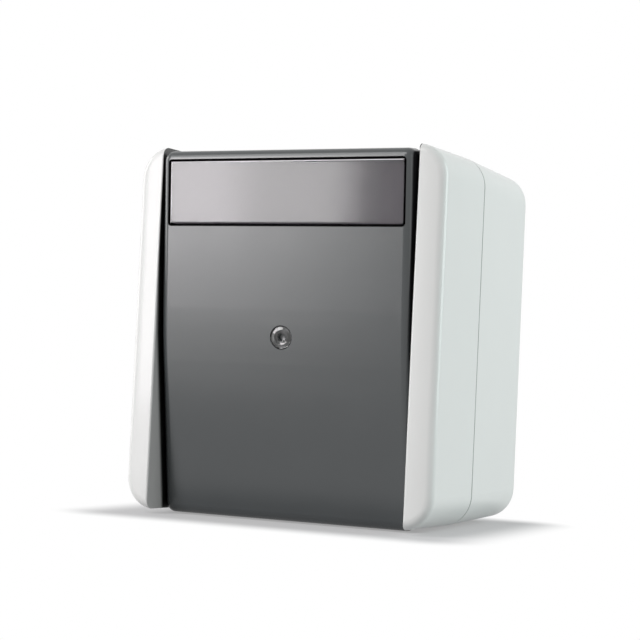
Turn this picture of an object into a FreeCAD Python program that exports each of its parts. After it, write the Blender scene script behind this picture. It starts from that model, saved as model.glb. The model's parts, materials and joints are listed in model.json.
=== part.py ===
import FreeCAD, Part
import math
import os

# Surface-mounted weatherproof rocker switch, two-pole, with a pilot lamp. Millimetres.
# The origin is the middle of the back face, where the switch meets the wall.
# X runs right, Y runs into the wall and Z runs up, so the rocker faces -Y.
# The rocker is drawn level and then turned to the pose it rests in: lower end pressed.

Vector = FreeCAD.Vector
ALONG_X = Vector(1, 0, 0)
ALONG_Y = Vector(0, 1, 0)
ALONG_Z = Vector(0, 0, 1)

# Housing
HOUSING_WIDTH = 68.0
HOUSING_HEIGHT = 75.0
HOUSING_DEPTH = 50.0
BASE_DEPTH = 28.0
CORNER_RADIUS = 6.5
DRAFT_DEGREES = 0.8
WALL = 2.4
BACK_WALL = 3.0
SEAM_CHAMFER = 0.25
FRONT_EDGE_RADIUS = 1.8
CHEEK_WIDTH = 5.9
CHEEK_WALL = 1.8
CHEEK_LIP = 0.4
CROWN_RADIUS = 24.0
FLOOR_WALL = 2.0
FRONT_WALL = 2.6

# Gasket in a rebate of the joint between base and cover
RIM_WIDTH = 1.2
GASKET_WIDTH = 1.0
GASKET_DEPTH = 1.2
GASKET_PROUD = 0.4
GASKET_PLAY = 0.08

# Hooks that hold the cover on the base
HOOK_INSET = 14.0
HOOK_WIDTH = 8.0
HOOK_THICKNESS = 1.6
HOOK_LENGTH = 6.0
HOOK_NOSE = 2.0
HOOK_CATCH = 0.9
HOOK_PLAY = 0.3

# Rocker
ROCKER_SIDE_GAP = 0.4
ROCKER_END_GAP = 0.25
ROCKER_WALL = 2.4
SKIRT_WALL = 2.0
SKIRT_DEPTH = 4.5
APEX_SETBACK = 1.0
APEX_BLEND = 130.0
PIVOT_BEHIND_APEX = 11.0
KINK_DEGREES = 2.4
TILT_DEGREES = 6.2
ROCKER_EDGE_RADIUS = 2.0
PIN_RADIUS = 1.5
PIN_PLAY = 0.05
PIN_REACH = 1.6
LUG_RADIUS = 2.8
LUG_CLEARANCE = 0.4
PAD_RISE = 0.4

# Label field
LABEL_SIDE_MARGIN = 1.55
LABEL_TOP_MARGIN = 1.65
LABEL_HEIGHT = 13.6
LABEL_GAP = 0.5
LABEL_CORNER = 0.8
CARD_INSET = 0.8
CARD_THICKNESS = 0.3
WINDOW_THICKNESS = 1.2
WINDOW_CHAMFER = 0.2

# Indicator lens
LENS_RADIUS = 2.3
LENS_PLAY = 0.1
LENS_RIM = 0.4
LENS_RINGS = 2
LENS_STEP = 0.4
LENS_RING = 0.45
LENS_FLANGE = 3.2
LENS_FLANGE_THICKNESS = 0.8

# Drive fork behind the rocker, with its plungers
FORK_HEIGHT = 10.0
FORK_PLATE = 2.0
LEG_SPACING = 17.0
LEG_SIZE = 6.0
PEG_SIZE = 2.6
PEG_GAP = 0.2
PEG_EDGE = 1.2
PEG_PLAY = 0.05
PEG_STAND = 0.8
PLUNGER_SIZE = 3.2
PLUNGER_PLAY = 0.06
PLUNGER_IN_LEG = 5.0
PLUNGER_OUT_OF_LEG = 3.9
SPRING_ROOM = 4.0
SPRING_TURNS = 3
SPRING_FLATS = 10
SPRING_WIRE = 0.5

# Rubber boot in the cover floor
BOOT_ROOM = 1.6
BOOT_HEIGHT = 15.0
BOOT_LIP = 1.5
BOOT_WALL = 1.5
BOOT_THICKNESS = 1.0
BOOT_PLAY = 0.05
LEG_CLEARANCE = 0.4

# Switch insert
PLATE_BEHIND_FLOOR = 6.3
PLATE_THICKNESS = 1.2
INSERT_WIDTH = 36.0
INSERT_END_WALL = 1.5
INSERT_DEPTH = 15.0
INSERT_FLOOR = 2.0
STAKE_INSET = 4.5
STAKE_WIDTH = 1.6
STAKE_LENGTH = 5.0
STAKE_PLAY = 0.05
STAKE_HEAD = 0.8
CHAMBER_WIDTH = 7.2
CHAMBER_HEIGHT = 42.0
STRIP_THICKNESS = 1.0
STRIP_WIDTH = 5.0
SEESAW_PIVOT_RISE = 1.7
SEESAW_PIN_RADIUS = 0.8
SEESAW_PLAY = 0.1
SEESAW_HALF_LENGTH = 9.6
SEESAW_WING_DEGREES = 5.0
SEESAW_TILT_DEGREES = 6.0
SADDLE_WALL = 0.8
SADDLE_LIP = 0.2
PLUNGER_CLEARANCE = 0.08
TIP_SIZE = 3.0
TIP_HEIGHT = 0.6
TIP_REACH = 8.0
TIP_GAP = 0.1
CAGE_HEIGHT = 8.0
CAGE_LENGTH = 6.4
CAGE_WIDTH = 6.0
CAGE_WALL = 0.9
CAGE_END_GAP = 0.4
CLAMP_LEAF = 0.5
CLAMP_LEAF_WIDTH = 3.4
CLAMP_TIP_GAP = 0.6

# Pilot lamp
LAMP_RADIUS = 2.0
LAMP_PLAY = 0.1
LAMP_SOCKET = 2.0
LAMP_GAP = 2.5
HOLDER_SIZE = 8.0
HOLDER_HEIGHT = 4.0

# Posts, screws, wall holes and cable entries
POST_INSET = 8.5
POST_SIZE = 7.0
PLATE_SCREW_RADIUS = 1.5
PLATE_HEAD_RADIUS = 2.8
PLATE_HEAD_HEIGHT = 1.8
SCREW_PLAY = 0.05
SCREW_BITE = 12.0
SCREW_TIP_ROOM = 1.0
SLOT_WIDTH = 0.8
SLOT_DEPTH = 0.8
SLOT_RIM = 0.6
WALL_HOLE_SPACING = 60.0
WALL_HOLE_RADIUS = 2.25
ENTRY_RADIUS = 8.5
ENTRY_PLAY = 0.05
ENTRY_LIP = 1.4
ENTRY_WALL_GAP = 1.1
ENTRY_LIP_THICKNESS = 1.2

# How far cutting shapes run past the faces they cut, and joined shapes into each other
OVERRUN = 1.0
BITE = 0.2
TOUCH = 0.01

# Depths and half sizes that follow from the sizes above
DRAFT = math.tan(math.radians(DRAFT_DEGREES))
KINK = math.radians(KINK_DEGREES)
TILT = math.radians(TILT_DEGREES)
WING = math.radians(SEESAW_WING_DEGREES)
SWING = math.radians(SEESAW_TILT_DEGREES)
SEAM_Y = -BASE_DEPTH
FRONT_Y = -HOUSING_DEPTH
CHANNEL_X = HOUSING_WIDTH / 2 - CHEEK_WIDTH
APEX_Y = FRONT_Y + APEX_SETBACK
PIVOT_Y = APEX_Y + PIVOT_BEHIND_APEX
FLOOR_FRONT = PIVOT_Y + LUG_RADIUS + LUG_CLEARANCE
FLOOR_BACK = FLOOR_FRONT + FLOOR_WALL
REBATE_WIDTH = WALL - RIM_WIDTH + OVERRUN
HOOK_X = HOUSING_WIDTH / 2 - HOOK_INSET
HOOK_FACE = HOUSING_HEIGHT / 2 - WALL - HOOK_PLAY
HOOK_END = SEAM_Y + HOOK_LENGTH
ROCKER_X = CHANNEL_X - ROCKER_SIDE_GAP
ROCKER_Z = HOUSING_HEIGHT / 2 - ROCKER_END_GAP
VERTEX_Y = APEX_Y - APEX_BLEND * (1 / math.cos(KINK) - 1)
RIM_Y = VERTEX_Y + ROCKER_Z * math.tan(KINK) + SKIRT_DEPTH
PAD_Y = APEX_Y + ROCKER_WALL + PAD_RISE
LABEL_Z = ROCKER_Z - LABEL_TOP_MARGIN - LABEL_HEIGHT / 2
LEG_OUTSIDE = LEG_SPACING + LEG_SIZE
PEG_SPACING = LEG_OUTSIDE + PEG_SIZE + 2 * PEG_GAP
FORK_WIDTH = PEG_SPACING + PEG_SIZE + 2 * PEG_EDGE
BOOT_WIDTH = LEG_OUTSIDE + 2 * (LEG_CLEARANCE + BOOT_ROOM + BOOT_WALL)
INSERT_HEIGHT = CHAMBER_HEIGHT + 2 * INSERT_END_WALL
PLATE_FRONT = FLOOR_BACK + PLATE_BEHIND_FLOOR
PLATE_BACK = PLATE_FRONT + PLATE_THICKNESS
INSERT_BACK = PLATE_BACK + INSERT_DEPTH
CHAMBER_FLOOR = INSERT_BACK - INSERT_FLOOR
STRIP_FRONT = CHAMBER_FLOOR - STRIP_THICKNESS
SEESAW_Y = STRIP_FRONT - SEESAW_PIVOT_RISE
SEESAW_BACK = SEESAW_Y - SEESAW_PIN_RADIUS - SEESAW_PLAY
SEESAW_FRONT = SEESAW_BACK - STRIP_THICKNESS
PLUNGER_TIP = SEESAW_FRONT - PLUNGER_CLEARANCE
PLUNGER_NOSE = PLUNGER_TIP - PLUNGER_SIZE / 2
LEG_END = PLUNGER_NOSE - PLUNGER_OUT_OF_LEG
PLUNGER_TAIL = LEG_END - PLUNGER_IN_LEG
BORE_END = PLUNGER_TAIL - SPRING_ROOM
LAMP_FRONT = FLOOR_FRONT + LAMP_GAP
HOLDER_FRONT = PLATE_BACK - HOLDER_HEIGHT
POST_X = HOUSING_WIDTH / 2 - POST_INSET
ENTRY_Y = -(BACK_WALL + ENTRY_WALL_GAP + ENTRY_LIP + ENTRY_RADIUS)
CAGE_Z = CHAMBER_HEIGHT / 2 - CAGE_LENGTH / 2 - CAGE_END_GAP
CAGE_FRONT = CHAMBER_FLOOR - CAGE_HEIGHT
STAKE_X = (INSERT_WIDTH / 2 + LEG_SPACING / 2 + CHAMBER_WIDTH / 2) / 2
STAKE_Z = INSERT_HEIGHT / 2 - STAKE_INSET
POLES = (-LEG_SPACING / 2, LEG_SPACING / 2)
POSTS = (-POST_X, POST_X)
WALL_HOLES = (-WALL_HOLE_SPACING / 2, WALL_HOLE_SPACING / 2)
STAKE_SPOTS = ((STAKE_X, STAKE_Z), (-STAKE_X, STAKE_Z), (-STAKE_X, -STAKE_Z), (STAKE_X, -STAKE_Z))


def block(x0, x1, y0, y1, z0, z1):
    """Box between two corners."""
    return Part.makeBox(x1 - x0, y1 - y0, z1 - z0, Vector(x0, y0, z0))


def rod_y(radius, y0, y1, x=0.0, z=0.0):
    """Round bar along Y."""
    return Part.makeCylinder(radius, y1 - y0, Vector(x, y0, z), ALONG_Y)


def rod_x(radius, x0, x1, y=0.0, z=0.0):
    """Round bar along X."""
    return Part.makeCylinder(radius, x1 - x0, Vector(x0, y, z), ALONG_X)


def rod_z(radius, z0, z1, x=0.0, y=0.0):
    """Round bar along Z."""
    return Part.makeCylinder(radius, z1 - z0, Vector(x, y, z0), ALONG_Z)


def outline(width, height, radius, y):
    """Closed rounded rectangle in the plane at depth y, centred on the Y axis."""
    reach_x = width / 2 - radius
    reach_z = height / 2 - radius
    corners = []
    for turn, (side, end) in enumerate(((1, 1), (-1, 1), (-1, -1), (1, -1))):
        points = []
        for step in range(3):
            angle = math.radians(90 * turn + 45 * step)
            x = side * reach_x + radius * math.cos(angle)
            z = end * reach_z + radius * math.sin(angle)
            points.append(Vector(x, y, z))
        corners.append(points)
    edges = []
    for here, there in zip(corners, corners[1:] + corners[:1]):
        edges.append(Part.Arc(*here).toShape())
        edges.append(Part.makeLine(here[2], there[0]))
    return Part.Wire(edges)


def slab(width, height, radius, y0, y1):
    """Rounded plate between two depths."""
    return Part.Face(outline(width, height, radius, y0)).extrude(Vector(0, y1 - y0, 0))


def housing_block(y0, y1, inset, lean):
    """Drafted block of the housing's outline; lean is +1 towards the wall, -1 towards the front."""
    low, high = sorted((y0, y1))
    reach = []
    for y in (low, high):
        loss = inset + lean * (y - SEAM_Y) * DRAFT
        reach.append((HOUSING_WIDTH / 2 - loss, HOUSING_HEIGHT / 2 - loss))
    (x0, z0), (x1, z1) = reach
    wedge = Part.makeWedge(-x0, low, -z0, -z1, -x1, x0, high, z0, z1, x1)
    corners = [edge for edge in wedge.Edges if edge.BoundBox.YLength > (high - low) / 2]
    return wedge.makeFillet(CORNER_RADIUS - inset, corners)


def half_height(y, lean):
    """Half of the housing's outer height at depth y."""
    return HOUSING_HEIGHT / 2 - lean * (y - SEAM_Y) * DRAFT


def ring_at_seam(inset, width, y0, y1):
    """Rounded ring that follows the joint between base and cover."""
    outer = slab(HOUSING_WIDTH - 2 * inset, HOUSING_HEIGHT - 2 * inset, CORNER_RADIUS - inset, y0, y1)
    inner_inset = inset + width
    inner = slab(
        HOUSING_WIDTH - 2 * inner_inset, HOUSING_HEIGHT - 2 * inner_inset, CORNER_RADIUS - inner_inset, y0, y1
    )
    return outer.cut(inner)


def prism_x(edges, x0, x1):
    """Solid with the closed YZ outline given by edges, from x0 to x1."""
    return Part.Face(Part.Wire(edges)).extrude(Vector(x1 - x0, 0, 0))


def polygon_x(points, x0, x1):
    """Solid with a straight-sided YZ outline, from x0 to x1."""
    corners = [Vector(x0, y, z) for y, z in points]
    return Part.Face(Part.makePolygon(corners + corners[:1])).extrude(Vector(x1 - x0, 0, 0))


def turned_y(points, x, z):
    """Solid turned about a line along Y at x, z; points are radius and depth."""
    corners = [Vector(x + radius, y, z) for radius, y in points]
    face = Part.Face(Part.makePolygon(corners + corners[:1]))
    return face.revolve(Vector(x, 0, z), ALONG_Y, 360)


def edges_where(shape, test):
    """Edges of a shape whose ends and middle all pass a test."""
    found = []
    for edge in shape.Edges:
        middle = edge.valueAt((edge.FirstParameter + edge.LastParameter) / 2)
        points = [vertex.Point for vertex in edge.Vertexes] + [middle]
        if all(test(point) for point in points):
            found.append(edge)
    return found


def tilted(shape):
    """A rocker piece, turned from level to the pose it rests in."""
    turned = shape.copy()
    turned.rotate(Vector(0, PIVOT_Y, 0), ALONG_X, TILT_DEGREES)
    return turned


def seesaw_at_rest(shape):
    """A contact piece, turned from level to the pose it rests in."""
    turned = shape.copy()
    turned.rotate(Vector(0, SEESAW_Y, 0), ALONG_X, -SEESAW_TILT_DEGREES)
    return turned


def on_label_face(shape, height):
    """A piece drawn on the plane y = 0, moved to the rocker's upper face at a height."""
    moved = shape.copy()
    moved.rotate(Vector(0, 0, 0), ALONG_X, -KINK_DEGREES)
    moved.translate(Vector(0, VERTEX_Y + height * math.tan(KINK), height))
    return moved


def slotted_screw(x, z, seat, head_radius, head_height, shank_radius, end):
    """Screw along Y with a slotted hexagon head, which sits on the plane at depth seat."""
    top = seat - head_height
    corners = []
    for step in range(6):
        angle = math.radians(60 * step)
        corners.append(Vector(x + head_radius * math.cos(angle), top, z + head_radius * math.sin(angle)))
    head = Part.Face(Part.makePolygon(corners + corners[:1])).extrude(Vector(0, head_height, 0))
    half = SLOT_WIDTH / 2
    reach = head_radius - SLOT_RIM
    slot = block(x - reach, x + reach, top - OVERRUN, top + SLOT_DEPTH, z - half, z + half)
    return head.cut(slot).fuse(rod_y(shank_radius, seat, end, x, z)).removeSplitter()


def make_base():
    """Rear box: walls, posts, hook pockets, wall holes and the two cable entries."""
    shell = housing_block(SEAM_Y, 0, 0, 1)
    rim = edges_where(shell, lambda p: p.y < SEAM_Y + TOUCH)
    shell = shell.makeChamfer(SEAM_CHAMFER, rim)
    shell = shell.cut(housing_block(SEAM_Y - OVERRUN, -BACK_WALL, WALL, 1))
    shell = shell.cut(ring_at_seam(RIM_WIDTH, REBATE_WIDTH, SEAM_Y, SEAM_Y + GASKET_DEPTH))
    half = POST_SIZE / 2
    for x in POSTS:
        post = block(x - half, x + half, PLATE_BACK, -BACK_WALL + BITE, -half, half)
        bore = rod_y(PLATE_SCREW_RADIUS + SCREW_PLAY, PLATE_BACK, PLATE_BACK + SCREW_BITE + SCREW_TIP_ROOM, x, 0)
        shell = shell.fuse(post.cut(bore))
    for z in WALL_HOLES:
        shell = shell.cut(rod_y(WALL_HOLE_RADIUS, -BACK_WALL - OVERRUN, OVERRUN, 0, z))
    outer = half_height(ENTRY_Y, 1)
    for end in (-1, 1):
        low, high = sorted((end * (outer - WALL - OVERRUN), end * (outer + OVERRUN)))
        shell = shell.cut(rod_z(ENTRY_RADIUS, low, high, 0, ENTRY_Y))
        for x in (-HOOK_X, HOOK_X):
            shell = shell.cut(make_hook_pocket(x, end))
    return shell.removeSplitter()


def make_hook_pocket(x, end):
    """Pocket in the base wall that one hook of the cover catches; end is +1 at the top."""
    half = HOOK_WIDTH / 2 + HOOK_PLAY
    low, high = sorted((end * (HOOK_FACE - OVERRUN), end * (HOOK_FACE + HOOK_CATCH + HOOK_PLAY)))
    return block(x - half, x + half, HOOK_END - HOOK_NOSE - HOOK_PLAY, HOOK_END + HOOK_PLAY, low, high)


def make_hook(x, end):
    """Tongue with a barbed nose that reaches from the cover into the base; end is +1 at the top."""
    root = FLOOR_FRONT + BITE
    inside = HOOK_FACE - HOOK_THICKNESS
    wall = HOOK_FACE + HOOK_PLAY + BITE
    points = [
        (root, inside),
        (HOOK_END, inside),
        (HOOK_END, HOOK_FACE),
        (HOOK_END - HOOK_NOSE, HOOK_FACE + HOOK_CATCH),
        (HOOK_END - HOOK_NOSE, HOOK_FACE),
        (SEAM_Y - GASKET_PROUD, HOOK_FACE),
        (SEAM_Y - GASKET_PROUD, wall),
        (root, wall),
    ]
    return polygon_x([(y, end * z) for y, z in points], x - HOOK_WIDTH / 2, x + HOOK_WIDTH / 2)


def make_cover():
    """Front frame: side cheeks, the floor behind the rocker and the rocker's bearing holes."""
    body = housing_block(SEAM_Y, FRONT_Y, 0, -1)
    rim = edges_where(body, lambda p: p.y > SEAM_Y - TOUCH)
    body = body.makeChamfer(SEAM_CHAMFER, rim)
    body = body.cut(make_crown_trim(1)).cut(make_crown_trim(-1))
    fall = CROWN_RADIUS * (1 - math.cos(math.asin(CHEEK_WIDTH / CROWN_RADIUS))) + TOUCH
    reach = half_height(FRONT_Y, -1)
    side = HOUSING_WIDTH / 2 - (SEAM_Y - FRONT_Y) * DRAFT

    def on_front_loop(p):
        outside = abs(p.x) > side - CORNER_RADIUS * 0.32 or abs(p.z) > reach - CORNER_RADIUS * 0.32
        return p.y < FRONT_Y + fall and outside

    body = body.makeFillet(FRONT_EDGE_RADIUS, edges_where(body, on_front_loop))
    body = body.cut(make_channel())
    hollow = housing_block(SEAM_Y + OVERRUN, FRONT_Y + FRONT_WALL, WALL, -1)
    inner_wall = CHANNEL_X + CHEEK_WALL
    floor = block(-inner_wall, inner_wall, FRONT_Y - OVERRUN, FLOOR_BACK, -HOUSING_HEIGHT, HOUSING_HEIGHT)
    body = body.cut(hollow.cut(floor))
    body = body.cut(ring_at_seam(RIM_WIDTH, REBATE_WIDTH, SEAM_Y - GASKET_PROUD, SEAM_Y))
    half_x, half_z = BOOT_WIDTH / 2, BOOT_HEIGHT / 2
    body = body.cut(block(-half_x, half_x, FLOOR_FRONT - OVERRUN, FLOOR_BACK + OVERRUN, -half_z, half_z))
    for side in (-1, 1):
        low, high = sorted((side * (CHANNEL_X - OVERRUN), side * (CHANNEL_X + PIN_REACH + BITE)))
        body = body.cut(rod_x(PIN_RADIUS + PIN_PLAY, low, high, PIVOT_Y, 0))
        for end in (-1, 1):
            body = body.fuse(make_hook(side * HOOK_X, end))
    return body.removeSplitter()


def make_crown_trim(side):
    """What is cut from a cheek's front so that it falls away in a long arc to the outside."""
    start = CHANNEL_X + CHEEK_LIP
    sweep = math.asin((HOUSING_WIDTH / 2 + OVERRUN - start) / CROWN_RADIUS)

    def on_arc(angle):
        x = start + CROWN_RADIUS * math.sin(angle)
        y = FRONT_Y + CROWN_RADIUS * (1 - math.cos(angle))
        return Vector(side * x, y, -HOUSING_HEIGHT)

    near, far = on_arc(0), on_arc(sweep)
    arc = Part.Arc(near, on_arc(sweep / 2), far).toShape()
    outside = Vector(far.x, FRONT_Y - OVERRUN, far.z)
    above = Vector(near.x, FRONT_Y - OVERRUN, near.z)
    lines = [Part.makeLine(far, outside), Part.makeLine(outside, above), Part.makeLine(above, near)]
    return Part.Face(Part.Wire([arc] + lines)).extrude(Vector(0, 0, 2 * HOUSING_HEIGHT))


def make_channel():
    """The slot between the cheeks, over the full height, with softened mouth edges."""
    lip = CHEEK_LIP
    z = -HOUSING_HEIGHT
    bend = lip * (1 - math.sqrt(0.5))
    left = [Vector(-CHANNEL_X - lip, FRONT_Y, z), Vector(-CHANNEL_X - bend, FRONT_Y + bend, z)]
    left.append(Vector(-CHANNEL_X, FRONT_Y + lip, z))
    right = [Vector(-p.x, p.y, p.z) for p in left]
    floor_left = Vector(-CHANNEL_X, FLOOR_FRONT, z)
    floor_right = Vector(CHANNEL_X, FLOOR_FRONT, z)
    top_left = Vector(-CHANNEL_X - lip, FRONT_Y - OVERRUN, z)
    top_right = Vector(CHANNEL_X + lip, FRONT_Y - OVERRUN, z)
    edges = [
        Part.Arc(*left).toShape(),
        Part.makeLine(left[2], floor_left),
        Part.makeLine(floor_left, floor_right),
        Part.makeLine(floor_right, right[2]),
        Part.Arc(*right).toShape(),
        Part.makeLine(right[0], top_right),
        Part.makeLine(top_right, top_left),
        Part.makeLine(top_left, left[0]),
    ]
    return Part.Face(Part.Wire(Part.__sortEdges__(edges))).extrude(Vector(0, 0, 2 * HOUSING_HEIGHT))


def make_gasket():
    """Soft ring that lies in the base's rebate and stands into the cover's."""
    inset = RIM_WIDTH + GASKET_PLAY
    return ring_at_seam(inset, GASKET_WIDTH, SEAM_Y - GASKET_PROUD, SEAM_Y + GASKET_DEPTH)


def make_grommets():
    """Closed rubber cable entries at top and bottom, flush outside, with a square lip inside."""
    outer = half_height(ENTRY_Y, 1)
    seat = outer - WALL - ENTRY_PLAY - ENTRY_RADIUS * DRAFT
    half = ENTRY_RADIUS + ENTRY_LIP
    grommets = []
    for end in (-1, 1):
        low, high = sorted((end * (seat - BITE), end * outer))
        neck = rod_z(ENTRY_RADIUS - ENTRY_PLAY, low, high, 0, ENTRY_Y)
        low, high = sorted((end * (seat - ENTRY_LIP_THICKNESS), end * seat))
        lip = block(-half, half, ENTRY_Y - half, ENTRY_Y + half, low, high)
        grommets.append(neck.fuse(lip).removeSplitter())
    return Part.makeCompound(grommets)


def rocker_outline(front_shift, half_length, back):
    """YZ outline of the rocker: two faces blended at the middle, closed by a straight back."""
    radius = APEX_BLEND - front_shift
    vertex = APEX_Y + front_shift - radius * (1 / math.cos(KINK) - 1)
    meet_z = radius * math.sin(KINK)
    meet_y = vertex + meet_z * math.tan(KINK)
    end_y = vertex + half_length * math.tan(KINK)

    def at(y, z):
        return Vector(0, y, z)

    arc = Part.Arc(at(meet_y, -meet_z), at(APEX_Y + front_shift, 0), at(meet_y, meet_z)).toShape()
    return [
        arc,
        Part.makeLine(at(meet_y, meet_z), at(end_y, half_length)),
        Part.makeLine(at(end_y, half_length), at(back, half_length)),
        Part.makeLine(at(back, half_length), at(back, -half_length)),
        Part.makeLine(at(back, -half_length), at(end_y, -half_length)),
        Part.makeLine(at(end_y, -half_length), at(meet_y, -meet_z)),
    ]


def label_plate(inset, y0, y1):
    """Plate of the label field's size less an inset, drawn on the plane y = 0."""
    half_x = ROCKER_X - LABEL_SIDE_MARGIN - inset
    half_z = LABEL_HEIGHT / 2 - inset
    return block(-half_x, half_x, y0, y1, -half_z, half_z)


def make_rocker():
    """Hollow rocker with bearing pins, the label recess and the lens hole; drawn level."""
    body = prism_x(rocker_outline(0, ROCKER_Z, RIM_Y), 0, 2 * ROCKER_X)
    body.translate(Vector(-ROCKER_X, 0, 0))

    def on_rounded_edge(p):
        side = abs(p.x) > ROCKER_X - TOUCH
        end = abs(p.z) > ROCKER_Z - TOUCH
        return (side and end) or (p.y < RIM_Y - TOUCH and (side or end))

    body = body.makeFillet(ROCKER_EDGE_RADIUS, edges_where(body, on_rounded_edge))
    inner_x = ROCKER_X - SKIRT_WALL
    hollow = prism_x(rocker_outline(ROCKER_WALL, ROCKER_Z - SKIRT_WALL, RIM_Y + OVERRUN), 0, 2 * inner_x)
    hollow.translate(Vector(-inner_x, 0, 0))
    body = body.cut(hollow)
    pad_front = APEX_Y + ROCKER_WALL / 2
    pad = block(-FORK_WIDTH / 2, FORK_WIDTH / 2, pad_front, PAD_Y, -FORK_HEIGHT / 2, FORK_HEIGHT / 2)
    body = body.fuse(pad)
    half = PEG_SIZE / 2
    for x in (-PEG_SPACING / 2, PEG_SPACING / 2):
        body = body.fuse(block(x - half, x + half, pad_front, PAD_Y + FORK_PLATE + PEG_STAND, -half, half))
    for side in (-1, 1):
        low, high = sorted((side * inner_x, side * ROCKER_X))
        tip_low, tip_high = sorted((side * inner_x, side * (CHANNEL_X + PIN_REACH)))
        body = body.fuse(block(low, high, RIM_Y - BITE, PIVOT_Y, -LUG_RADIUS, LUG_RADIUS))
        body = body.fuse(rod_x(LUG_RADIUS, low, high, PIVOT_Y, 0))
        body = body.fuse(rod_x(PIN_RADIUS, tip_low, tip_high, PIVOT_Y, 0))
    recess = label_plate(0, -OVERRUN, CARD_THICKNESS + WINDOW_THICKNESS)
    corners = [edge for edge in recess.Edges if edge.BoundBox.YLength > WINDOW_THICKNESS]
    body = body.cut(on_label_face(recess.makeFillet(LABEL_CORNER, corners), LABEL_Z))
    body = body.cut(rod_y(LENS_RADIUS + LENS_PLAY, APEX_Y - OVERRUN, PAD_Y + OVERRUN))
    return body.removeSplitter()


def make_card():
    """Plain label card under the window."""
    card = label_plate(CARD_INSET, WINDOW_THICKNESS, WINDOW_THICKNESS + CARD_THICKNESS)
    return on_label_face(card, LABEL_Z)


def make_window():
    """Clear cover of the label field, flush with the rocker's face."""
    window = label_plate(LABEL_GAP, 0, WINDOW_THICKNESS)
    front = edges_where(window, lambda p: p.y < TOUCH)
    return on_label_face(window.makeChamfer(WINDOW_CHAMFER, front), LABEL_Z)


def make_lens():
    """Round lens, stepped inwards in rings, with a square flange behind the rocker wall."""
    points = [(0, PAD_Y), (LENS_RADIUS, PAD_Y), (LENS_RADIUS, APEX_Y)]
    radius = LENS_RADIUS - LENS_RIM
    depth = APEX_Y
    for ring in range(LENS_RINGS):
        points += [(radius, depth), (radius, depth + LENS_STEP)]
        radius -= LENS_RING
        depth += LENS_STEP
    points.append((0, depth))
    flange = block(-LENS_FLANGE, LENS_FLANGE, PAD_Y, PAD_Y + LENS_FLANGE_THICKNESS, -LENS_FLANGE, LENS_FLANGE)
    return turned_y(points, 0, 0).fuse(flange).removeSplitter()


def make_fork():
    """Plate pinned behind the rocker, with two legs that carry the plungers."""
    fork = block(-FORK_WIDTH / 2, FORK_WIDTH / 2, PAD_Y, PAD_Y + FORK_PLATE, -FORK_HEIGHT / 2, FORK_HEIGHT / 2)
    half = LEG_SIZE / 2
    bore = PLUNGER_SIZE / 2 + PLUNGER_PLAY
    for x in POLES:
        leg = block(x - half, x + half, PAD_Y, LEG_END, -half, half)
        fork = fork.fuse(leg).cut(block(x - bore, x + bore, BORE_END, LEG_END + OVERRUN, -bore, bore))
    hole = PEG_SIZE / 2 + PEG_PLAY
    for x in (-PEG_SPACING / 2, PEG_SPACING / 2):
        fork = fork.cut(block(x - hole, x + hole, PAD_Y - OVERRUN, PAD_Y + FORK_PLATE + OVERRUN, -hole, hole))
    light = LENS_FLANGE + LENS_PLAY
    fork = fork.cut(block(-light, light, PAD_Y - OVERRUN, PAD_Y + FORK_PLATE + OVERRUN, -light, light))
    return fork.removeSplitter()


def make_plunger(x):
    """Square plunger with a round nose, in one leg of the fork."""
    half = PLUNGER_SIZE / 2
    body = block(x - half, x + half, PLUNGER_TAIL, PLUNGER_NOSE, -half, half)
    return body.fuse(rod_x(half, x - half, x + half, PLUNGER_NOSE, 0)).removeSplitter()


def make_spring(x):
    """Square-wire coil spring, in flats, between the bore's end and the plunger's tail."""
    half = SPRING_WIRE / 2
    radius = PLUNGER_SIZE / 2 - SPRING_WIRE
    travel = SPRING_ROOM - SPRING_WIRE
    steps = round(SPRING_TURNS * SPRING_FLATS)
    sections = []
    for step in range(steps + 1):
        angle = 2 * math.pi * step / SPRING_FLATS
        y = BORE_END + half + travel * step / steps
        corners = []
        for reach, rise in ((-half, -half), (half, -half), (half, half), (-half, half)):
            out = radius + reach
            corners.append(Vector(x + out * math.cos(angle), y + rise, out * math.sin(angle)))
        sections.append(corners)
    rims = [sections[0], sections[-1]]
    for here, there in zip(sections, sections[1:]):
        for side in range(4):
            after = (side + 1) % 4
            rims.append([here[side], here[after], there[after]])
            rims.append([here[side], there[after], there[side]])
    faces = [Part.Face(Part.makePolygon(rim + rim[:1])) for rim in rims]
    return Part.makeSolid(Part.makeShell(faces))


def leg_reach(depth):
    """Half height that a leg of the fork sweeps at a depth, with its clearance."""
    return LEG_SIZE / 2 / math.cos(TILT) + (depth - PIVOT_Y) * math.tan(TILT) + LEG_CLEARANCE


def make_boot():
    """Rubber boot that grips the floor's opening and lets the two legs through."""
    front = FLOOR_FRONT - BOOT_THICKNESS
    back = FLOOR_BACK + BOOT_THICKNESS
    half_x = BOOT_WIDTH / 2 - BOOT_PLAY
    half_z = BOOT_HEIGHT / 2 - BOOT_PLAY
    lip_x = half_x + BOOT_LIP
    lip_z = half_z + BOOT_LIP
    boot = block(-lip_x, lip_x, front, FLOOR_FRONT, -lip_z, lip_z)
    boot = boot.fuse(block(-lip_x, lip_x, FLOOR_BACK, back, -lip_z, lip_z))
    boot = boot.fuse(block(-half_x, half_x, FLOOR_FRONT - BITE, FLOOR_BACK + BITE, -half_z, half_z))
    pocket_x = half_x - BOOT_WALL
    pocket_z = half_z - BOOT_WALL
    boot = boot.cut(block(-pocket_x, pocket_x, FLOOR_FRONT, back + OVERRUN, -pocket_z, pocket_z))
    slot_z = leg_reach(FLOOR_FRONT)
    slot_x = LEG_SIZE / 2 + LEG_CLEARANCE
    for x in POLES:
        boot = boot.cut(block(x - slot_x, x + slot_x, front - OVERRUN, FLOOR_FRONT + OVERRUN, -slot_z, slot_z))
    return boot.removeSplitter()


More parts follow.
